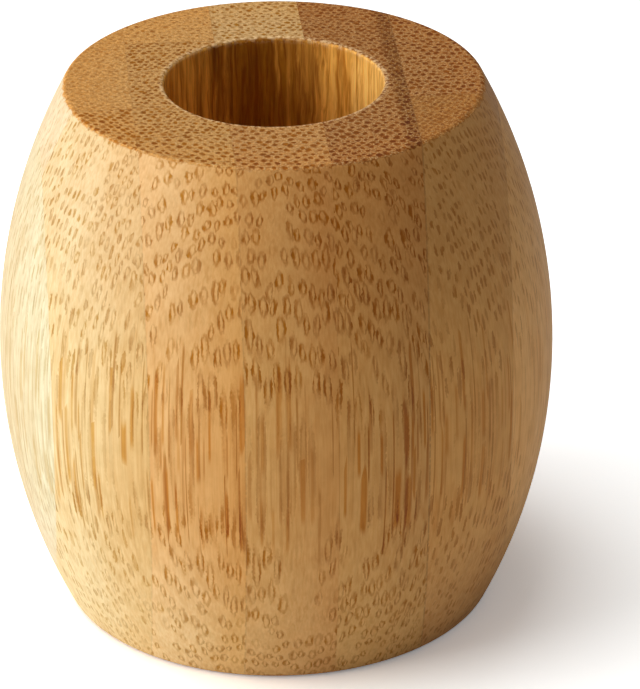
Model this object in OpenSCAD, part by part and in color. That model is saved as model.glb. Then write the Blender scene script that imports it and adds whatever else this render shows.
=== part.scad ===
/* [Barrel] */
// Height of the holder
height = 60; // [52:0.5:70]
// Diameter of the belly, the widest place
belly_d = 60.7; // [58:0.1:66]
// Height of the widest place above the table
belly_height = 28.8; // [24:0.1:34]
// Radius of the arc that the side follows from foot to rim
side_arc_r = 65.8; // [56:0.1:90]
// Round on the outer edge of the top
rim_round = 0.7; // [0.3:0.1:2]
// Round on the edge of the underside
foot_round = 1; // [0.3:0.1:2.5]

/* [Bore] */
// Diameter of the hole for the brush handle
bore_d = 23.5; // [18:0.1:27]
// Wood left under the hole
floor_t = 10; // [4:0.5:30]
// Round on the mouth of the hole
mouth_round = 0.4; // [0.2:0.1:1.5]

/* [Lamination] */
// Mean thickness that turning leaves of the left and right cap layers
cap_t = 5.85; // [4:0.05:8]
// Thickness that turning leaves of the centre layer's front and back strips
end_t = 5.35; // [3:0.05:7]
// Turn of the glue lines about the upright axis, in degrees
grain_turn = 4.3; // [0:0.1:15]

/* [Hidden] */
// The seven layers are counted from the left, and the strips of a layer from the front.

// How far the middle of the stack lies right of the axis, as a share of a strip's thickness
stack_offset_share = -0.07;
// Places of the edge joints in each layer from front to back, as shares of a strip's width
joint_shares = [
    [0.16],
    [-0.24, 0.76],
    [-0.54, 0.46],
    [-1, 0, 1],
    [-1.02, -0.02, 0.98],
    [-0.22, 0.78],
    [-0.11]
];
layer_count = len(joint_shares);

belly_r = belly_d / 2;
// The full layers share what the caps leave of the belly
strip_t = (belly_d - 2 * cap_t) / (layer_count - 2);
// Two full strips lie between the end strips of the centre layer
strip_w = belly_r - end_t;
bore_r = bore_d / 2;
bore_depth = height - floor_t;
// The blank that the barrel is turned from stands this far outside it on every side
blank_allowance = 5;
blank_r = belly_r + blank_allowance;
// Flats to a full circle in a preview, and in one of the small rounds
$fn = 240;
round_fn = 72;

pale_bamboo = "#E6C38C";
mid_bamboo = "#D9AF74";
warm_bamboo = "#CC9C5E";

// Distance from the axis to the centre of the side's arc, on the far side of the axis
side_arc_back = side_arc_r - belly_r;

// Distance from the axis to the centre of a round that touches the side's arc from inside,
// with that centre at height z
function round_centre_r(z, r) = sqrt((side_arc_r - r) ^ 2 - (z - belly_height) ^ 2) - side_arc_back;

// Height at which such a round meets the side
function round_meets_z(z, r) = belly_height + (z - belly_height) * side_arc_r / (side_arc_r - r);

// Half outline of the barrel between two heights, with its side on the arc
module side_band(low, high) {
    intersection() {
        translate([-side_arc_back, belly_height]) circle(r = side_arc_r);
        translate([0, low]) square([blank_r, high - low]);
    }
}

// Half outline of one flat end, as deep as its round, which starts at height low
module round_end(low, centre_z, r) {
    centre_x = round_centre_r(centre_z, r);
    translate([0, low]) square([centre_x, r]);
    translate([centre_x, centre_z]) circle(r = r, $fn = round_fn);
}

// Half outline of what the drill and the mouth's round take away
module bore_outline() {
    mouth_r = bore_r + mouth_round;
    mouth_z = height - mouth_round;
    translate([0, floor_t]) square([bore_r, bore_depth + blank_allowance]);
    difference() {
        translate([0, mouth_z]) square([mouth_r, mouth_round + blank_allowance]);
        translate([mouth_r, mouth_z]) circle(r = mouth_round, $fn = round_fn);
    }
}

// Half outline of the finished barrel
module barrel_outline() {
    rim_z = height - rim_round;
    foot_z = foot_round;
    difference() {
        union() {
            side_band(round_meets_z(foot_z, foot_round), round_meets_z(rim_z, rim_round));
            round_end(rim_z, rim_z, rim_round);
            round_end(0, foot_z, foot_round);
        }
        bore_outline();
    }
}

module barrel() {
    rotate_extrude() barrel_outline();
}

// Left face of a layer, counted from zero, as a distance from the axis
function layer_left(layer) = (layer - layer_count / 2 + stack_offset_share) * strip_t;

// One strip of the blank, before turning
module strip_blank(layer, place) {
    joints = joint_shares[layer];
    last = len(joints);
    left = layer == 0 ? -blank_r : layer_left(layer);
    right = layer == layer_count - 1 ? blank_r : layer_left(layer + 1);
    front = place == 0 ? -blank_r : joints[place - 1] * strip_w;
    back = place == last ? blank_r : joints[place] * strip_w;
    rotate([0, 0, grain_turn])
        translate([left, front, -blank_allowance])
            cube([right - left, back - front, height + 2 * blank_allowance]);
}

// One strip as it is left in the finished holder
module strip(layer, place) {
    intersection() {
        barrel();
        strip_blank(layer, place);
    }
}

module left_cap_front() {
    color(pale_bamboo) strip(0, 0);
}

module left_cap_back() {
    color(mid_bamboo) strip(0, 1);
}

module left_outer_front() {
    color(warm_bamboo) strip(1, 0);
}

module left_outer_middle() {
    color(pale_bamboo) strip(1, 1);
}

module left_outer_back() {
    color(mid_bamboo) strip(1, 2);
}

module left_inner_front() {
    color(mid_bamboo) strip(2, 0);
}

module left_inner_middle() {
    color(warm_bamboo) strip(2, 1);
}

module left_inner_back() {
    color(pale_bamboo) strip(2, 2);
}

module centre_front() {
    color(pale_bamboo) strip(3, 0);
}

module centre_middle_front() {
    color(warm_bamboo) strip(3, 1);
}

module centre_middle_back() {
    color(mid_bamboo) strip(3, 2);
}

module centre_back() {
    color(pale_bamboo) strip(3, 3);
}

module right_inner_front() {
    color(mid_bamboo) strip(4, 0);
}

module right_inner_middle_front() {
    color(pale_bamboo) strip(4, 1);
}

module right_inner_middle_back() {
    color(warm_bamboo) strip(4, 2);
}

module right_inner_back() {
    color(mid_bamboo) strip(4, 3);
}

module right_outer_front() {
    color(pale_bamboo) strip(5, 0);
}

module right_outer_middle() {
    color(warm_bamboo) strip(5, 1);
}

module right_outer_back() {
    color(mid_bamboo) strip(5, 2);
}

module right_cap_front() {
    color(warm_bamboo) strip(6, 0);
}

module right_cap_back() {
    color(pale_bamboo) strip(6, 1);
}

left_cap_front();
left_cap_back();
left_outer_front();
left_outer_middle();
left_outer_back();
left_inner_front();
left_inner_middle();
left_inner_back();
centre_front();
centre_middle_front();
centre_middle_back();
centre_back();
right_inner_front();
right_inner_middle_front();
right_inner_middle_back();
right_inner_back();
right_outer_front();
right_outer_middle();
right_outer_back();
right_cap_front();
right_cap_back();
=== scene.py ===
from collections import namedtuple
import math
from types import SimpleNamespace

import bmesh
import bpy
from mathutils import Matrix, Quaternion, Vector

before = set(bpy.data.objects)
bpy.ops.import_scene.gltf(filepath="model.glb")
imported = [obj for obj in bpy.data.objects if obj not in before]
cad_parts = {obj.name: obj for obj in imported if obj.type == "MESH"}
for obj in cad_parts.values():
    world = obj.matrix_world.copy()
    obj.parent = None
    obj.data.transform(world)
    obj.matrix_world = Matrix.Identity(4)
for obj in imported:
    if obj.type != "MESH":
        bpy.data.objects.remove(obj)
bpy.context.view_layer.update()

MM = 0.001
WHITE = (1, 1, 1, 1)

# Camera, as the holder was photographed
CAMERA_AT = Vector((0, -426.8, 245.5)) * MM
CAMERA_AIM = Vector((4.79, 0, 28.32)) * MM
CAMERA_ROLL = math.radians(-0.302)
SENSOR_LONG_SIDE = 36
CAMERA_LENS = 227.16
CAMERA_NEAR = 0.05
CAMERA_FAR = 20

# Studio: a large soft box low on the left, a weaker one overhead, weak fill and white paper.
# A lamp's level is the light that it gives a surface facing it, where 1 shows a colour as written.
Lamp = namedtuple("Lamp", "place side aim level colour")
LAMPS = {
    "side_soft_box": Lamp(
        Vector((-505, -135, 170)) * MM, 0.42, Vector((0, 0, 28)) * MM, 0.84, (1, 0.99, 0.97)
    ),
    "top_soft_box": Lamp(
        Vector((-200, 60, 700)) * MM, 0.6, Vector((0, 0, 25)) * MM, 0.62, (1, 0.99, 0.98)
    ),
}
FILL_STRENGTH = 0.18
PAPER_SIDE = 6
PAPER_COLOUR = (0.92, 0.91, 0.9, 1)
# What the camera sees of the paper is raised to white, with the shadow left on it
PAPER_SEEN = (1.49, 1.53, 1.54, 1)
PAPER_LIFT = 0.19
PAPER_GAP = 0.0001
PAPER_NEAR = 0.15
PAPER_FAR = 0.4

# Barrel, in millimetres
BELLY_RADIUS = 30.35
BORE_RADIUS = 11.75

# Lamination, in millimetres in the frame of the glued stack
GRAIN_TURN = math.radians(4.3)
LAYERS = 7
STRIP_THICKNESS = 9.8
STRIP_WIDTH = 25
STACK_OFFSET_SHARE = -0.07
OUTSIDE = 40
# Edge joints in each layer from front to back, as shares of a strip's width
JOINT_SHARES = (
    (0.16,),
    (-0.24, 0.76),
    (-0.54, 0.46),
    (-1, 0, 1),
    (-1.02, -0.02, 0.98),
    (-0.22, 0.78),
    (-0.11,),
)
# Faces of the layers, from left to right
LAYER_FACES = (
    -OUTSIDE,
    *((number - LAYERS / 2 + STACK_OFFSET_SHARE) * STRIP_THICKNESS for number in range(1, LAYERS)),
    OUTSIDE,
)
# The hole crosses these layers, counted from 0 at the left
BORE_LAYERS = (2, 3, 4)

# Colours of the side, from the palest strip to the brownest; the palest one also holds a painted sheen
# Pale wood lightened further by a painted sheen
PALEST_WITH_SHEEN = (0.85, 0.70, 0.46, 1)
PALE = (0.80, 0.60, 0.36, 1)
CREAM = (0.78, 0.55, 0.28, 1)
WHEAT = (0.82, 0.535, 0.29, 1)
STRAW = (0.77, 0.51, 0.235, 1)
HONEY = (0.755, 0.462, 0.19, 1)
GOLDEN = (0.72, 0.41, 0.14, 1)
AMBER = (0.73, 0.38, 0.115, 1)
TAN = (0.66, 0.335, 0.10, 1)
BROWN = (0.60, 0.30, 0.095, 1)
# Colours of the end grain, on the top and the underside
END_PALE = (0.67, 0.40, 0.155, 1)
END_GOLD = (0.66, 0.335, 0.095, 1)
END_HONEY = (0.615, 0.315, 0.092, 1)
END_TAN = (0.555, 0.26, 0.073, 1)
END_RED = (0.425, 0.176, 0.042, 1)
END_BROWN = (0.43, 0.185, 0.04, 1)
# Tints of the cut fibre bundles and of the painted highlight in their hollows, and the colour of the
# glue
INK = (0.48, 0.28, 0.01, 1)
PALE_INK = (0.60, 0.39, 0.03, 1)
LUMEN_HIGHLIGHT_TINT = (1.1, 1.14, 1.2, 1)
GLUE = (0.25, 0.11, 0.03, 1)

# How much glue shows on those faces, and on the edge joints
FACE_GLUE_SHOWS = (0, 0, 0.15, 0.22, 0.05, 0.45, 0.1, 0)
EDGE_GLUE_SHOWS = 0.3

# Painted light and shade, as tints of each layer at the foot, the belly and the rim: the foot is
# mostly lifted as if lit from the paper below, and the outer layers' bellies pale with painted sheen
LAYER_LIGHT_TINTS = (
    ((1.0, 1.05, 1.14, 1), (1.0, 1.16, 1.25, 1), (0.92, 0.985, 1.0, 1)),
    ((1.17, 1.40, 1.64, 1), (1.13, 1.24, 1.27, 1), (1.03, 1.13, 1.27, 1)),
    ((1.25, 1.4, 1.6, 1), (1.17, 1.06, 0.92, 1), (1.07, 1.02, 0.98, 1)),
    ((1.2, 1.33, 1.6, 1), (1.12, 1.12, 1.12, 1), (0.97, 0.9, 0.86, 1)),
    ((1.1, 1.27, 1.5, 1), (1.06, 1.10, 1.14, 1), (0.88, 0.80, 0.73, 1)),
    ((1.03, 1.1, 1.3, 1), (1.17, 1.20, 1.16, 1), (0.93, 0.94, 0.94, 1)),
    ((0.9, 0.84, 0.72, 1), (1.32, 1.31, 1.36, 1), (1.0, 0.935, 0.84, 1)),
)

# A strip of bamboo. Pairs hold the value at its left face and the one at its right face.
# spacing, rows: how far apart fibre bundles lie along a row, and how far apart the rows lie
# sizes, inks: half widths of the bundles on the side, and how dark they are
# dot_radius, dot_ink: size and darkness of the same bundles as dots on the end grain
# lean: slant of the rows, and bunch: the place across the stack where the belly's streaks crowd
# skin: how brown the culm's skin shows along the right face, and streaks: how dark the streaks are
Strip = namedtuple(
    "Strip",
    "layer place seed colours end_colour spacing rows sizes inks "
    "dot_radius dot_ink lean bunch skin streaks",
    defaults=(0.0, OUTSIDE, 0.0, 1.0),
)
STRIPS = {
    # The front of the left cap pales towards its right face with painted sheen
    "left_cap_front": Strip(
        layer=0, place=0, seed=1.3, colours=(PALE, PALEST_WITH_SHEEN), end_colour=END_GOLD,
        spacing=0.95, rows=0.6, sizes=(0.22, 0.28), inks=(0.42, 0.5),
        dot_radius=0.24, dot_ink=0.5, bunch=-25.5,
    ),
    "left_cap_back": Strip(
        layer=0, place=1, seed=2.1, colours=(WHEAT, WHEAT), end_colour=END_GOLD,
        spacing=1.0, rows=0.6, sizes=(0.2, 0.28), inks=(0.5, 0.6),
        dot_radius=0.24, dot_ink=0.5, bunch=-26,
    ),
    "left_outer_front": Strip(
        layer=1, place=0, seed=3.7, colours=(CREAM, HONEY), end_colour=END_GOLD,
        spacing=0.95, rows=0.68, sizes=(0.25, 0.35), inks=(0.84, 0.92),
        dot_radius=0.28, dot_ink=1.2, lean=0.2, bunch=-23.4, streaks=1.05,
    ),
    "left_outer_middle": Strip(
        layer=1, place=1, seed=4.2, colours=(PALE, CREAM), end_colour=END_GOLD,
        spacing=1.0, rows=0.6, sizes=(0.25, 0.2), inks=(0.5, 0.4),
        dot_radius=0.24, dot_ink=0.6,
    ),
    "left_outer_back": Strip(
        layer=1, place=2, seed=5.9, colours=(CREAM, STRAW), end_colour=END_GOLD,
        spacing=1.0, rows=0.6, sizes=(0.25, 0.34), inks=(0.7, 0.8),
        dot_radius=0.24, dot_ink=0.8, lean=0.1, bunch=-20,
    ),
    "left_inner_front": Strip(
        layer=2, place=0, seed=6.4, colours=(STRAW, GOLDEN), end_colour=END_HONEY,
        spacing=1.08, rows=0.85, sizes=(0.38, 0.43), inks=(1.1, 1.2),
        dot_radius=0.28, dot_ink=1.2, lean=0.22, bunch=-13.6, streaks=0.85,
    ),
    "left_inner_middle": Strip(
        layer=2, place=1, seed=7.7, colours=(STRAW, GOLDEN), end_colour=END_HONEY,
        spacing=0.82, rows=0.72, sizes=(0.24, 0.3), inks=(1.0, 0.9),
        dot_radius=0.25, dot_ink=1.2,
    ),
    "left_inner_back": Strip(
        layer=2, place=2, seed=8.1, colours=(STRAW, STRAW), end_colour=END_GOLD,
        spacing=1.0, rows=0.8, sizes=(0.28, 0.36), inks=(0.7, 0.8),
        dot_radius=0.22, dot_ink=0.8, lean=0.1, bunch=-9,
    ),
    "centre_front": Strip(
        layer=3, place=0, seed=9.3, colours=(GOLDEN, TAN), end_colour=END_TAN,
        spacing=1.1, rows=0.82, sizes=(0.42, 0.44), inks=(1.2, 1.25),
        dot_radius=0.28, dot_ink=1.35, lean=0.08, bunch=-1.5, streaks=0.6,
    ),
    "centre_middle_front": Strip(
        layer=3, place=1, seed=9.3, colours=(GOLDEN, TAN), end_colour=END_TAN,
        spacing=1.1, rows=0.82, sizes=(0.42, 0.44), inks=(1.2, 1.25),
        dot_radius=0.28, dot_ink=1.35, lean=0.08, bunch=-1.5, streaks=0.6,
    ),
    "centre_middle_back": Strip(
        layer=3, place=2, seed=10.8, colours=(GOLDEN, GOLDEN), end_colour=END_PALE,
        spacing=0.9, rows=0.75, sizes=(0.26, 0.32), inks=(0.9, 0.9),
        dot_radius=0.25, dot_ink=1.05,
    ),
    "centre_back": Strip(
        layer=3, place=3, seed=11.6, colours=(STRAW, GOLDEN), end_colour=END_PALE,
        spacing=0.9, rows=0.6, sizes=(0.24, 0.28), inks=(0.8, 0.8),
        dot_radius=0.22, dot_ink=0.8, bunch=1,
    ),
    "right_inner_front": Strip(
        layer=4, place=0, seed=12.5, colours=(AMBER, TAN), end_colour=END_RED,
        spacing=1.02, rows=0.76, sizes=(0.42, 0.36), inks=(1.3, 1.2),
        dot_radius=0.28, dot_ink=1.45, bunch=12.3, skin=1.0, streaks=0.98,
    ),
    "right_inner_middle_front": Strip(
        layer=4, place=1, seed=12.5, colours=(AMBER, TAN), end_colour=END_RED,
        spacing=1.02, rows=0.76, sizes=(0.42, 0.36), inks=(1.3, 1.2),
        dot_radius=0.28, dot_ink=1.45, bunch=12.3, skin=1.0, streaks=0.98,
    ),
    "right_inner_middle_back": Strip(
        layer=4, place=2, seed=13.2, colours=(TAN, BROWN), end_colour=END_RED,
        spacing=0.82, rows=0.7, sizes=(0.3, 0.28), inks=(0.9, 1.1),
        dot_radius=0.26, dot_ink=1.1, skin=1.0,
    ),
    "right_inner_back": Strip(
        layer=4, place=3, seed=14.9, colours=(GOLDEN, BROWN), end_colour=END_TAN,
        spacing=0.82, rows=0.7, sizes=(0.28, 0.26), inks=(0.9, 1.1),
        dot_radius=0.26, dot_ink=1.0, bunch=8, skin=1.0,
    ),
    "right_outer_front": Strip(
        layer=5, place=0, seed=15.4, colours=(TAN, TAN), end_colour=END_BROWN,
        spacing=0.85, rows=0.55, sizes=(0.2, 0.24), inks=(0.76, 0.74),
        dot_radius=0.24, dot_ink=0.8, lean=-0.15, bunch=15.2, streaks=1.15,
    ),
    "right_outer_middle": Strip(
        layer=5, place=1, seed=16.6, colours=(TAN, BROWN), end_colour=END_RED,
        spacing=0.92, rows=0.9, sizes=(0.28, 0.3), inks=(0.8, 0.9),
        dot_radius=0.27, dot_ink=1.55,
    ),
    "right_outer_back": Strip(
        layer=5, place=2, seed=17.3, colours=(TAN, BROWN), end_colour=END_RED,
        spacing=0.95, rows=0.85, sizes=(0.32, 0.28), inks=(1.0, 1.1),
        dot_radius=0.27, dot_ink=1.5, bunch=20,
    ),
    "right_cap_front": Strip(
        layer=6, place=0, seed=18.8, colours=(GOLDEN, GOLDEN), end_colour=END_BROWN,
        spacing=0.85, rows=0.55, sizes=(0.2, 0.2), inks=(0.6, 0.5),
        dot_radius=0.22, dot_ink=0.8,
    ),
    "right_cap_back": Strip(
        layer=6, place=1, seed=19.5, colours=(GOLDEN, GOLDEN), end_colour=END_RED,
        spacing=0.95, rows=0.6, sizes=(0.2, 0.24), inks=(0.6, 0.6),
        dot_radius=0.22, dot_ink=0.8,
    ),
}

# A change that eases from least to most as something goes from start to end
Ease = namedtuple("Ease", "start end least most", defaults=(0.0, 1.0))
# A tint that eases from first to second as something goes from start to end
Mottle = namedtuple("Mottle", "start end first second")
# Noise in the wood: waves to a millimetre across the fibres and up them
Noise = namedtuple("Noise", "across up detail roughness", defaults=(1.0, 0.5))
NOISE_MIDDLE = 0.5

# Where the surface lies. Upright says how straight up or down it faces, from 0 to 1.
NEAR_BORE = Ease(BORE_RADIUS + 0.25, BORE_RADIUS + 0.05)
ABOVE_UNDERSIDE = Ease(5, 8)
CUT_ACROSS = Ease(0.62, 0.8)
CUT_RAGGEDNESS = 0.9
ROUGH = Noise(2.2, 2.2, 3.0)
FLECKS = Noise(5.5, 5.5)

# Fibres wander and their bundles are uneven, over these millimetres across and along a layer
WANDER = Noise(0.2, 0.03)
WANDER_BY = (1.0, 1.6)
UNEVEN = Noise(1.9, 0.12)
UNEVEN_BY = (0.42, 0.36)
RAGGED = Noise(4.5, 2.5)
RAGGED_BY = (0.24, 0.24)

# Shape of a bundle, in shares of its half width: a ring with paler pith, which also takes a painted
# highlight, open at its ends
SCATTER = 0.42
SIZE_SHARES = (0.8, 1.2)
FLATNESS = 1.4
SQUARENESS = 0.2
BODY = Ease(1.26, 0.82)
PITH_SHIFT = 0.5
PITH_HALF_WIDTH = 0.4
PITH_HALF_HEIGHT = 0.7
PITH = Ease(1.35, 0.6)
PITH_PALENESS = Ease(0.03, 0.14, 0.48, 0.93)
# Where a painted highlight lightens the hollow of a bundle
LUMEN = Ease(0.95, 0.4, 0.0, 0.5)
HOLLOW = Ease(0.24, 0.34)
SHEATH_GAPS = 0.25
SHEATH_SOFTNESS = 0.02
ENDS = Ease(0.35, 0.9)
ENDS_OPEN = Ease(0.12, 0.3, 0.8, 0.4)
BROKEN = Ease(0.36, 0.55, 0.6, 1.0)

# How dark bundles are: they come in groups, drift in tone, and fade low down and where the side stands
GROUPS_ACROSS = 0.42
GROUPS_ALONG = 0.5
GROUPS_UP = 0.03
GROUPED = Ease(0.36, 0.47, 0.15, 1.0)
DRIFTS_ACROSS = 3.1
DRIFTS_UP = 0.06
DRIFT = Ease(0.3, 0.6, 0.75, 1.0)
DRIFT_TO_PALE = Ease(0.35, 0.65)
SLOPING = Ease(0.03, 0.14)
STANDING_FADE = 0.55
LOW_DOWN = Ease(22, 8, 1.0, 0.8)
BUNCHED = Ease(2.4, 0.8)
BUNCHED_IN_BORE = 0.9

# Dots on the end grain
DOT_SHARES = (0.75, 1.25)
DOT_FLATNESS = 0.8
DOT = Ease(1.3, 0.5)
DOT_STRENGTH = 0.3
DOT_CHANCE = 0.55
DOT_LEAST = 0.32
DOT_ROUGH = Ease(0.3, 0.5, 0.6, 1.05)
DOT_UPRIGHT = Ease(0.7, 0.98, 0.4, 1.0)
# Pale halos round the dots: a painted highlight, as where cut fibres stand proud and catch the light
HALO_OUTSIDE = Ease(2.1, 1.5)
HALO_INSIDE = Ease(1.5, 1.0)
HALO_FLECKED = Ease(0.42, 0.6)
HALO_STRENGTH = 0.35
HALO_HIGHLIGHT_COLOUR = (0.66, 0.44, 0.2, 1)

# Side
FIBRES = Noise(4.0, 0.1, 3.0)
CLOUDS = Noise(0.25, 0.06, 2.0)
FIBRE_SHARE = 0.7
GRAIN = Ease(0.32, 0.68)
GRAIN_TINT = (0.90, 0.81, 0.69, 1)
BLOTCHES = Noise(0.6, 0.4, 3.0)
SIDE_BLOTCHES = Mottle(0.36, 0.64, (0.965, 0.945, 0.91, 1), (1.03, 1.03, 1.04, 1))
# Heights in millimetres where the painted light of the foot and of the rim takes over from the belly
FOOT_TINTED = Ease(23, 3)
RIM_TINTED = Ease(33, 55)
ACROSS_LAYER = Ease(0.2, 1.0)

# Streaks of the belly, where the side is cut along the fibres, in millimetres
Streak = namedtuple("Streak", "pitch height thin wide left_out strength ink")
STREAKS = (
    Streak(1.3, 9, 0.12, 0.36, 0.0, 1.0, (0.77, 0.55, 0.20, 1)),
    Streak(1.05, 13, 0.06, 0.17, 0.05, 0.9, (0.62, 0.42, 0.13, 1)),
    Streak(0.82, 9, 0.09, 0.2, 0.36, 0.8, (0.66, 0.44, 0.15, 1)),
)
STREAKS_HEIGHT = 29.5
SEED_STEP = 100
LANE_SCATTER = 0.85
LANE_BEND = 0.1
STREAK_EDGE = Ease(1.4, 0.6)
STREAK_END = Ease(0.8, -0.8)
STREAK_END_RAGGEDNESS = 2
STREAK_HALF_LENGTHS = (0.25, 0.55)
BELLY_BAND = Ease(10.5, 7)
STREAK_BUNCHED = 0.5
STREAK_SHOWS = Ease(0.4, 0.68)
STREAK_DRIFT = Ease(0.3, 0.6, 0.7, 1.0)
STREAK_OVERLAP = 0.6

# End grain
END_ROUGH = Mottle(0.36, 0.64, (0.82, 0.77, 0.70, 1), (1.12, 1.13, 1.16, 1))
END_FLECKS = Mottle(0.38, 0.62, (0.89, 0.86, 0.81, 1), (1.09, 1.11, 1.15, 1))
SKIN_DEPTHS = (2.0, 0.9)
SKIN_RAGGEDNESS = 1.2
SKIN_TINT = (0.66, 0.57, 0.3, 1)
RIM_DARKENS = Mottle(15, 22, (0.99, 1.02, 1.06, 1), (1.03, 0.98, 0.85, 1))
RIM_RAGGEDNESS = 8
TURNED_RINGS = 3.5
TURNED_DETAIL = 2.0
TURNED = Mottle(0.35, 0.65, (0.93, 0.92, 0.90, 1), (1.06, 1.07, 1.08, 1))
# Pale flecks on the end grain are painted glints
GLINT_FLECKS = Ease(0.62, 0.74, 0.0, 0.5)
GLINT_FLECK_COLOUR = (0.85, 0.62, 0.36, 1)

# Wall of the bore, from left to right, in bands that paint shade left of its middle and light towards
# its right, and its mouth
BORE_LEFT = (0.90, 0.46, 0.07, 1)
BORE_LIGHT_AND_SHADE_BANDS = (
    (Ease(-9, -3), (0.38, 0.145, 0.008, 1)),
    (Ease(0.5, 8.5), (0.90, 0.44, 0.072, 1)),
    (Ease(7, 13), (1.0, 0.57, 0.14, 1)),
)
BORE_BENDS = Noise(0.9, 0.2)
BORE_BENT_BY = 0.9
BORE_STREAKS = Noise(1.3, 0.03, 4.0, 0.6)
BORE_STREAKED_BY = 16
BORE_LINES = Noise(1.9, 0.05, 4.0, 0.65)
BORE_LINED = Mottle(0.32, 0.62, (0.6, 0.42, 0.16, 1), (1.12, 1.16, 1.22, 1))
BORE_WEAR = Noise(1.4, 0.22, 3.0, 0.6)
BORE_WORN = Mottle(0.35, 0.65, (0.84, 0.8, 0.73, 1), (1.1, 1.12, 1.17, 1))
FLOOR_GRAIN = 0.6
FRAYED_RADIUS = BORE_RADIUS + 0.3
FRAYED_RING = Ease(0.45, 0.1)
FRAYED_MOUTH = Ease(59.2, 59.7)
FRAYED_ROUGH = Ease(0.42, 0.6, 0.0, 0.6)
FRAYED_COLOUR = (0.9, 0.63, 0.33, 1)

# Glue lines
GLUE_WIDTH = Ease(0.16, 0.02)
GLUE_BREAKS = Ease(0.3, 0.55)

# Relief, and how matt the wood is
FIBRE_RELIEF = 0.25
MARK_RELIEF = 0.35
FLECK_RELIEF = 0.5
RELIEF_STRENGTH = 0.5
RELIEF_DEPTH = 0.0001
GRAIN_MATTNESS = 0.1
END_MATTNESS = 0.22
MATTNESS = 0.48
SPECULAR = 0.2


class Value:
    """A number or colour in a finish. Sums that hold one add Math nodes."""

    def __init__(self, finish, socket):
        self.finish = finish
        self.socket = socket

    def __add__(self, other):
        return self.finish.math("ADD", self, other)

    def __sub__(self, other):
        return self.finish.math("SUBTRACT", self, other)

    def __rsub__(self, other):
        return self.finish.math("SUBTRACT", other, self)

    def __mul__(self, other):
        return self.finish.math("MULTIPLY", self, other)

    def __truediv__(self, other):
        return self.finish.math("DIVIDE", self, other)

    def __rtruediv__(self, other):
        return self.finish.math("DIVIDE", other, self)

    def __abs__(self):
        return self.finish.math("ABSOLUTE", self)

    __radd__ = __add__
    __rmul__ = __mul__


class Finish:
    """The nodes of a material or a world."""

    def __init__(self, owner):
        owner.use_nodes = True
        self.tree = owner.node_tree
        self.tree.nodes.clear()

    def node(self, kind, settings, sockets):
        """Adds a node, sets its settings, then gives its sockets their values or links."""
        made = self.tree.nodes.new(kind)
        for name, setting in settings.items():
            setattr(made, name, setting)
        for name, given in sockets.items():
            if isinstance(given, Value):
                self.tree.links.new(given.socket, made.inputs[name])
            else:
                made.inputs[name].default_value = given
        return made

    def take(self, made, name):
        return Value(self, made.outputs[name])

    def math(self, operation, *terms):
        made = self.node("ShaderNodeMath", {"operation": operation}, dict(enumerate(terms)))
        return Value(self, made.outputs[0])

    def length(self, x, y):
        return self.math("SQRT", x * x + y * y)

    def ease(self, value, change):
        made = self.node(
            "ShaderNodeMapRange",
            {"interpolation_type": "SMOOTHSTEP"},
            {
                "Value": value,
                "From Min": change.start,
                "From Max": change.end,
                "To Min": change.least,
                "To Max": change.most,
            },
        )
        return self.take(made, "Result")

    def blend(self, share, first, second, how="MIX"):
        """Mixes two colours."""
        made = self.node(
            "ShaderNodeMix",
            {"data_type": "RGBA", "blend_type": how, "clamp_result": False},
            {0: share, 6: first, 7: second},
        )
        return Value(self, made.outputs[2])

    def tint(self, share, colour, by):
        return self.blend(share, colour, by, "MULTIPLY")

    def mottle(self, colour, value, tints):
        share = self.ease(value, Ease(tints.start, tints.end))
        return self.tint(1.0, colour, self.blend(share, tints.first, tints.second))

    def point(self, x, y, z):
        made = self.node("ShaderNodeCombineXYZ", {}, {"X": x, "Y": y, "Z": z})
        return self.take(made, "Vector")

    def parts(self, vector):
        made = self.node("ShaderNodeSeparateXYZ", {}, {"Vector": vector})
        return [self.take(made, axis) for axis in "XYZ"]

    def noise(self, vector, detail=1.0, roughness=0.5, output="Fac"):
        made = self.node(
            "ShaderNodeTexNoise",
            {"noise_dimensions": "3D"},
            {"Vector": vector, "Scale": 1.0, "Detail": detail, "Roughness": roughness},
        )
        return self.take(made, output)

    def wood_noise(self, noise, across, along, height, output="Fac"):
        vector = self.point(across * noise.across, along * noise.across, height * noise.up)
        return self.noise(vector, noise.detail, noise.roughness, output)

    def cells(self, x, y, scatter):
        """Scatters cells over a plane. Gives each one's middle and three chances from 0 to 1."""
        made = self.node(
            "ShaderNodeTexVoronoi",
            {"voronoi_dimensions": "2D", "feature": "F1"},
            {"Vector": self.point(x, y, 0.0), "Scale": 1.0, "Randomness": scatter},
        )
        middle_x, middle_y, _ = self.parts(self.take(made, "Position"))
        return middle_x, middle_y, self.parts(self.take(made, "Color"))


def sway(noise, reach):
    """A shift either way, by at most half of reach, from a noise between 0 and 1."""
    return (noise - NOISE_MIDDLE) * reach


def between(share, pair):
    """The first of a pair where share is 0, and the second where it is 1."""
    first, second = pair
    return share * (second - first) + first


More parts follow.
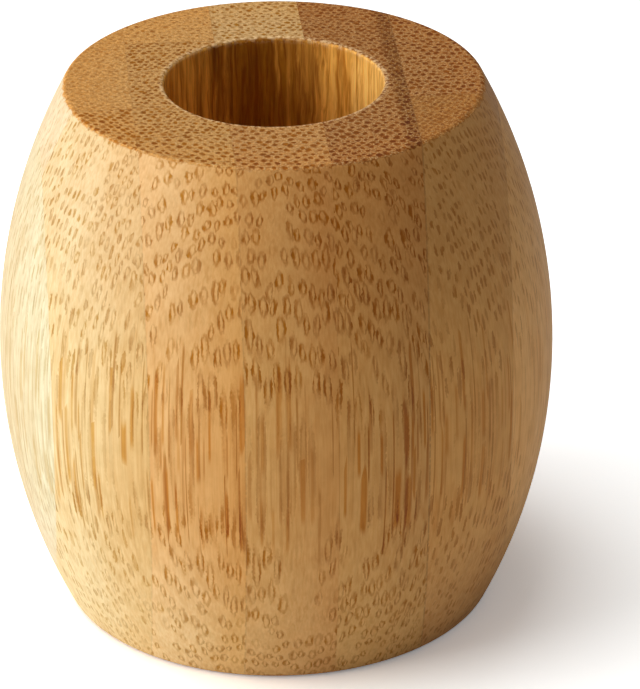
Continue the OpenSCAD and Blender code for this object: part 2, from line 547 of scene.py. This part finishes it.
def surface_place(finish):
    """Where a point lies in the glued stack, in millimetres, and how the surface cuts the wood."""
    coords = finish.node("ShaderNodeTexCoord", {}, {})
    stack = finish.node(
        "ShaderNodeMapping",
        {"vector_type": "POINT"},
        {
            "Vector": finish.take(coords, "Object"),
            "Rotation": (0, 0, -GRAIN_TURN),
            "Scale": (1 / MM, 1 / MM, 1 / MM),
        },
    )
    here = SimpleNamespace()
    here.across, here.along, here.height = finish.parts(finish.take(stack, "Vector"))
    here.spot = (here.across, here.along, here.height)
    here.radius = finish.length(here.across, here.along)
    here.upright = abs(finish.parts(finish.take(coords, "Normal"))[2])
    here.bored = finish.ease(here.radius, NEAR_BORE) * finish.ease(here.height, ABOVE_UNDERSIDE)
    here.rough = finish.wood_noise(ROUGH, *here.spot)
    here.flecks = finish.wood_noise(FLECKS, *here.spot)
    here.fibres = finish.wood_noise(FIBRES, *here.spot)
    here.blotches = finish.wood_noise(BLOTCHES, *here.spot)
    here.cut_across = finish.ease(here.upright + sway(here.rough, CUT_RAGGEDNESS), CUT_ACROSS)
    clouds = finish.wood_noise(CLOUDS, *here.spot)
    here.grain = finish.ease(here.fibres * FIBRE_SHARE + clouds * (1 - FIBRE_SHARE), GRAIN)
    return here


def fibre_bundles(finish, here, strip):
    """Bundles lie in staggered rows. Gives their marks on the side and the end grain."""
    left = max(LAYER_FACES[strip.layer], -BELLY_RADIUS)
    right = min(LAYER_FACES[strip.layer + 1], BELLY_RADIUS)
    wander_x, wander_y, _ = finish.parts(finish.wood_noise(WANDER, *here.spot, output="Color"))
    uneven_x, uneven_y, broken = finish.parts(finish.wood_noise(UNEVEN, *here.spot, output="Color"))
    ragged_x, ragged_y, _ = finish.parts(finish.wood_noise(RAGGED, *here.spot, output="Color"))
    grown_x = (
        here.across
        + sway(wander_x, WANDER_BY[0])
        + sway(uneven_x, UNEVEN_BY[0])
        + sway(ragged_x, RAGGED_BY[0])
    )
    grown_y = (
        here.along
        + here.across * strip.lean
        + sway(wander_y, WANDER_BY[1])
        + sway(uneven_y, UNEVEN_BY[1])
        + sway(ragged_y, RAGGED_BY[1])
    )

    # The cells lie on the slant, so that each row sits half a step off the next
    step = grown_x / strip.spacing + strip.seed
    row = grown_y / (2 * strip.rows)
    rising = step + row
    falling = step - row
    middle_rising, middle_falling, chances = finish.cells(rising, falling, SCATTER)
    first_chance, second_chance, third_chance = chances
    off_rising = rising - middle_rising
    off_falling = falling - middle_falling
    off_x = (off_rising + off_falling) * (strip.spacing / 2)
    off_y = (off_rising - off_falling) * strip.rows
    middle_x = grown_x - off_x
    middle_y = grown_y - off_y
    share_across = (middle_x - left) / (right - left)

    # Shape of one bundle
    size = between(share_across, strip.sizes) * between(first_chance, SIZE_SHARES)
    x = off_x / size
    y = off_y / size * FLATNESS
    x2 = x * x
    y2 = y * y
    body = finish.ease(finish.math("SQRT", x2 + y2 + abs(x * y) * SQUARENESS), BODY)
    pith = finish.length((x - sway(second_chance, PITH_SHIFT)) / PITH_HALF_WIDTH, y / PITH_HALF_HEIGHT)
    hollow = finish.ease(size, HOLLOW)
    clear = 1 - finish.ease(pith, PITH) * hollow * finish.ease(here.upright, PITH_PALENESS)
    quarter = (x2 - y2) / (x2 + y2 + SHEATH_SOFTNESS)
    sheaths = 1 - hollow * (1 - quarter * quarter) * SHEATH_GAPS
    open_ends = 1 - finish.ease(abs(y), ENDS) * finish.ease(here.upright, ENDS_OPEN) * hollow

    # How dark it is
    group = finish.noise(
        finish.point(
            middle_x * GROUPS_ACROSS + strip.seed,
            middle_y * GROUPS_ALONG,
            here.height * GROUPS_UP,
        )
    )
    drift = finish.noise(
        finish.point(
            middle_rising * DRIFTS_ACROSS,
            middle_falling * DRIFTS_ACROSS,
            here.height * DRIFTS_UP,
        )
    )
    strength = (
        between(share_across, strip.inks) * finish.ease(group, GROUPED) * finish.ease(drift, DRIFT)
    )
    sloping = finish.ease(here.upright, SLOPING)
    on_side = (
        strength
        * (1 - (1 - sloping) * (1 - here.bored) * STANDING_FADE)
        * finish.ease(here.height, LOW_DOWN)
    )
    rims = body * clear * sheaths * open_ends * finish.ease(broken, BROKEN) * on_side

    # The same bundle as a dot
    dot = finish.math("SQRT", off_x * off_x + off_y * off_y * DOT_FLATNESS)
    dot = dot / (between(first_chance, DOT_SHARES) * strip.dot_radius)
    dots = (
        finish.ease(dot, DOT)
        * (strength * DOT_STRENGTH + third_chance * DOT_CHANCE + DOT_LEAST)
        * finish.ease(here.rough, DOT_ROUGH)
        * finish.ease(here.upright, DOT_UPRIGHT)
        * strip.dot_ink
    )
    # A ring round the dot, for its painted highlight
    halo_highlight = finish.ease(dot, HALO_OUTSIDE) - finish.ease(dot, HALO_INSIDE)
    return SimpleNamespace(
        marks=finish.math("MINIMUM", rims + (dots - rims) * here.cut_across, 1.0),
        # Painted highlight in the hollow
        lumen_highlight=finish.ease(pith, LUMEN) * hollow * sloping * on_side,
        halo_highlight=halo_highlight * finish.ease(here.flecks, HALO_FLECKED) * (strip.dot_ink * HALO_STRENGTH),
        share_across=share_across,
        drift=drift,
        uneven=uneven_x,
        broken=broken,
    )


def side_grain(finish, here, strip, bundles):
    """Colour of the side before its marks, with light and shade painted in by the layer's tints."""
    foot, belly, rim = LAYER_LIGHT_TINTS[strip.layer]
    # Painted light and shade, from the foot through the belly to the rim
    tint = finish.blend(finish.ease(here.height, FOOT_TINTED), belly, foot)
    tint = finish.blend(finish.ease(here.height, RIM_TINTED), tint, rim)
    side = finish.blend(finish.ease(bundles.share_across, ACROSS_LAYER), *strip.colours)
    side = finish.tint(1.0, side, tint)
    side = finish.tint(here.grain, side, GRAIN_TINT)
    return finish.mottle(side, here.blotches, SIDE_BLOTCHES)


def belly_streaks(finish, here, strip, bundles, side):
    """Draws long streaks on the side, where the bundles are cut along their length."""
    round_about = finish.math("ARCTAN2", here.across, 0 - here.along) * BELLY_RADIUS
    round_about = round_about + strip.seed * SEED_STEP
    bunched = finish.ease(abs(here.across - strip.bunch), BUNCHED) + here.bored * BUNCHED_IN_BORE
    darkness = sum(strip.inks) / len(strip.inks) * strip.streaks
    covered = 0.0
    for streak in STREAKS:
        x = round_about / streak.pitch
        z = (here.height - STREAKS_HEIGHT) / streak.height
        lane_x, lane_z, (first_chance, second_chance, third_chance) = finish.cells(x, z, LANE_SCATTER)
        off_x = abs(x - lane_x) * streak.pitch + sway(bundles.uneven, LANE_BEND)
        off_z = abs(z - lane_z) * streak.height + sway(bundles.broken, STREAK_END_RAGGEDNESS)
        half_width = between(first_chance * first_chance, (streak.thin, streak.wide))
        half_length = between(second_chance, STREAK_HALF_LENGTHS) * streak.height
        shows = third_chance + (bunched * STREAK_BUNCHED - streak.left_out)
        drawn = (
            finish.ease(off_x / half_width, STREAK_EDGE)
            * finish.ease(off_z - half_length, STREAK_END)
            * finish.ease(abs(lane_z) * streak.height, BELLY_BAND)
            * finish.ease(shows, STREAK_SHOWS)
            * finish.ease(bundles.drift, STREAK_DRIFT)
            * (darkness * streak.strength)
            * (1 - covered * STREAK_OVERLAP)
        )
        covered = finish.math("MAXIMUM", covered, drawn)
        side = finish.tint(drawn * (1 - here.cut_across), side, streak.ink)
    return side


def end_grain(finish, here, strip, bundles):
    """Colour of the top and the underside before their dots, with painted glints and painted
    highlights round the dots.
    """
    right = min(LAYER_FACES[strip.layer + 1], BELLY_RADIUS)
    skin_starts, skin_full = SKIN_DEPTHS
    end = finish.mottle(strip.end_colour, here.rough, END_ROUGH)
    end = finish.mottle(end, here.flecks, END_FLECKS)
    skin = finish.ease(
        here.across + sway(here.rough, SKIN_RAGGEDNESS),
        Ease(right - skin_starts, right - skin_full, 0.0, strip.skin),
    )
    end = finish.tint(skin, end, SKIN_TINT)
    end = finish.mottle(end, here.radius + sway(here.blotches, RIM_RAGGEDNESS), RIM_DARKENS)
    rings = finish.noise(finish.point(here.radius * TURNED_RINGS, 0.0, 0.0), TURNED_DETAIL)
    end = finish.mottle(end, rings, TURNED)
    # Painted glints
    end = finish.blend(finish.ease(here.flecks, GLINT_FLECKS), end, GLINT_FLECK_COLOUR)
    # Painted highlight in pale halos round the dots
    return finish.blend(bundles.halo_highlight, end, HALO_HIGHLIGHT_COLOUR)


def drilled_bore(finish, here, colour):
    """Browns the wall of the bore, in bands that paint shade left of its middle and light towards its
    right, and frays its mouth.
    """
    bend_x, bend_y, _ = finish.parts(finish.wood_noise(BORE_BENDS, *here.spot, output="Color"))
    x = here.across + sway(bend_x, BORE_BENT_BY)
    y = here.along + sway(bend_y, BORE_BENT_BY)
    streaked = here.across + sway(finish.wood_noise(BORE_STREAKS, x, y, here.height), BORE_STREAKED_BY)
    wall = BORE_LEFT
    # Painted shade and painted light across the bore, from left to right
    for band, band_colour in BORE_LIGHT_AND_SHADE_BANDS:
        wall = finish.blend(finish.ease(streaked, band), wall, band_colour)
    wall = finish.mottle(wall, finish.wood_noise(BORE_LINES, x, y, here.height), BORE_LINED)
    wall = finish.mottle(wall, finish.wood_noise(BORE_WEAR, *here.spot), BORE_WORN)
    colour = finish.blend(here.bored * (1 - here.cut_across * FLOOR_GRAIN), colour, wall)
    frayed = (
        finish.ease(abs(here.radius - FRAYED_RADIUS), FRAYED_RING)
        * finish.ease(here.height, FRAYED_MOUTH)
        * finish.ease(here.rough, FRAYED_ROUGH)
    )
    return finish.blend(frayed, colour, FRAYED_COLOUR)


def glue_lines(finish, here, strip, colour):
    """Draws the glue on the faces between layers and on the edge joints that show on end grain."""
    breaks = finish.ease(here.rough, GLUE_BREAKS)
    for number in (strip.layer, strip.layer + 1):
        line = finish.ease(abs(here.across - LAYER_FACES[number]), GLUE_WIDTH) * breaks
        colour = finish.blend(line * FACE_GLUE_SHOWS[number], colour, GLUE)
    joints = [share * STRIP_WIDTH for share in JOINT_SHARES[strip.layer]]
    edges = [-OUTSIDE, *joints, OUTSIDE]
    for edge in edges[strip.place:strip.place + 2]:
        line = finish.ease(abs(here.along - edge), GLUE_WIDTH) * here.cut_across * breaks
        colour = finish.blend(line * EDGE_GLUE_SHOWS, colour, GLUE)
    return colour


def bamboo(name, strip):
    """The finish of one strip, on every face that turning and drilling leave of it."""
    wood = bpy.data.materials.new(name)
    finish = Finish(wood)
    here = surface_place(finish)
    bundles = fibre_bundles(finish, here, strip)
    side = side_grain(finish, here, strip, bundles)
    side = belly_streaks(finish, here, strip, bundles, side)
    # Painted highlight in the hollows of the bundles
    side = finish.tint(bundles.lumen_highlight, side, LUMEN_HIGHLIGHT_TINT)
    colour = finish.blend(here.cut_across, side, end_grain(finish, here, strip, bundles))
    ink = finish.blend(finish.ease(bundles.drift, DRIFT_TO_PALE), INK, PALE_INK)
    colour = finish.tint(bundles.marks, colour, ink)
    if strip.layer in BORE_LAYERS:
        colour = drilled_bore(finish, here, colour)
    colour = glue_lines(finish, here, strip, colour)
    relief = (
        here.fibres * FIBRE_RELIEF
        - bundles.marks * (1 - here.bored) * MARK_RELIEF
        + (here.rough + here.flecks * FLECK_RELIEF) * here.cut_across
    )
    bump = finish.node(
        "ShaderNodeBump", {}, {"Strength": RELIEF_STRENGTH, "Distance": RELIEF_DEPTH, "Height": relief}
    )
    shader = finish.node(
        "ShaderNodeBsdfPrincipled",
        {},
        {
            "Base Color": colour,
            "Roughness": here.grain * GRAIN_MATTNESS + here.cut_across * END_MATTNESS + MATTNESS,
            "Specular IOR Level": SPECULAR,
            "Normal": finish.take(bump, "Normal"),
        },
    )
    finish.node("ShaderNodeOutputMaterial", {}, {"Surface": finish.take(shader, "BSDF")})
    return wood


def paper_finish():
    """Paper that takes the shadow near the holder, and is plain white further off."""
    white_paper = bpy.data.materials.new("white_paper")
    finish = Finish(white_paper)
    rays = finish.node("ShaderNodeLightPath", {}, {})
    seen = finish.take(rays, "Is Camera Ray")
    coords = finish.node("ShaderNodeTexCoord", {}, {})
    away = finish.node(
        "ShaderNodeVectorMath", {"operation": "LENGTH"}, {0: finish.take(coords, "Object")}
    )
    far = finish.ease(finish.take(away, "Value"), Ease(PAPER_NEAR, PAPER_FAR)) * seen
    diffuse = finish.node(
        "ShaderNodeBsdfDiffuse", {}, {"Color": finish.blend(seen, PAPER_COLOUR, PAPER_SEEN)}
    )
    lift = finish.node("ShaderNodeEmission", {}, {"Color": WHITE, "Strength": seen * PAPER_LIFT})
    near = finish.node(
        "ShaderNodeAddShader", {}, {0: finish.take(diffuse, "BSDF"), 1: finish.take(lift, "Emission")}
    )
    white = finish.node("ShaderNodeEmission", {}, {"Color": WHITE, "Strength": 1.0})
    both = finish.node(
        "ShaderNodeMixShader",
        {},
        {0: far, 1: finish.take(near, "Shader"), 2: finish.take(white, "Emission")},
    )
    finish.node("ShaderNodeOutputMaterial", {}, {"Surface": finish.take(both, "Shader")})
    return white_paper


def lay_paper():
    paper = bpy.data.objects.new("paper", bpy.data.meshes.new("paper"))
    sheet = bmesh.new()
    bmesh.ops.create_grid(sheet, x_segments=1, y_segments=1, size=PAPER_SIDE / 2)
    bmesh.ops.translate(sheet, vec=(0, 0, -PAPER_GAP), verts=sheet.verts)
    sheet.to_mesh(paper.data)
    sheet.free()
    bpy.context.scene.collection.objects.link(paper)
    paper.data.materials.append(paper_finish())


def fill_studio():
    """Weak even light from all round, which the camera sees as white."""
    studio = bpy.data.worlds.new("studio")
    bpy.context.scene.world = studio
    finish = Finish(studio)
    rays = finish.node("ShaderNodeLightPath", {}, {})
    strength = finish.take(rays, "Is Camera Ray") * (1 - FILL_STRENGTH) + FILL_STRENGTH
    fill = finish.node("ShaderNodeBackground", {}, {"Color": WHITE, "Strength": strength})
    finish.node("ShaderNodeOutputWorld", {}, {"Surface": finish.take(fill, "Background")})


def look_along(direction):
    return direction.to_track_quat("-Z", "Y")


def hang_lamp(name, given):
    lamp = bpy.data.lights.new(name, "AREA")
    lamp.shape = "SQUARE"
    lamp.size = given.side
    lamp.energy = given.level * (math.pi * (given.aim - given.place).length) ** 2
    lamp.color = given.colour
    stand = bpy.data.objects.new(name, lamp)
    stand.location = given.place
    stand.visible_camera = False
    stand.rotation_mode = "QUATERNION"
    stand.rotation_quaternion = look_along(given.aim - given.place)
    bpy.context.scene.collection.objects.link(stand)


def set_up_camera():
    lens = bpy.data.cameras.new("camera")
    lens.lens = CAMERA_LENS
    lens.sensor_fit = "AUTO"
    lens.sensor_width = SENSOR_LONG_SIDE
    lens.clip_start = CAMERA_NEAR
    lens.clip_end = CAMERA_FAR
    camera = bpy.data.objects.new("camera", lens)
    camera.location = CAMERA_AT
    camera.rotation_mode = "QUATERNION"
    roll = Quaternion((0, 0, 1), CAMERA_ROLL)
    camera.rotation_quaternion = look_along(CAMERA_AIM - CAMERA_AT) @ roll
    bpy.context.scene.collection.objects.link(camera)
    bpy.context.scene.camera = camera
    bpy.context.scene.view_settings.view_transform = "Standard"


for name, strip in STRIPS.items():
    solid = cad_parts[name]
    solid.data.materials.clear()
    solid.data.materials.append(bamboo(name, strip))
lay_paper()
fill_studio()
for name, lamp in LAMPS.items():
    hang_lamp(name, lamp)
set_up_camera()
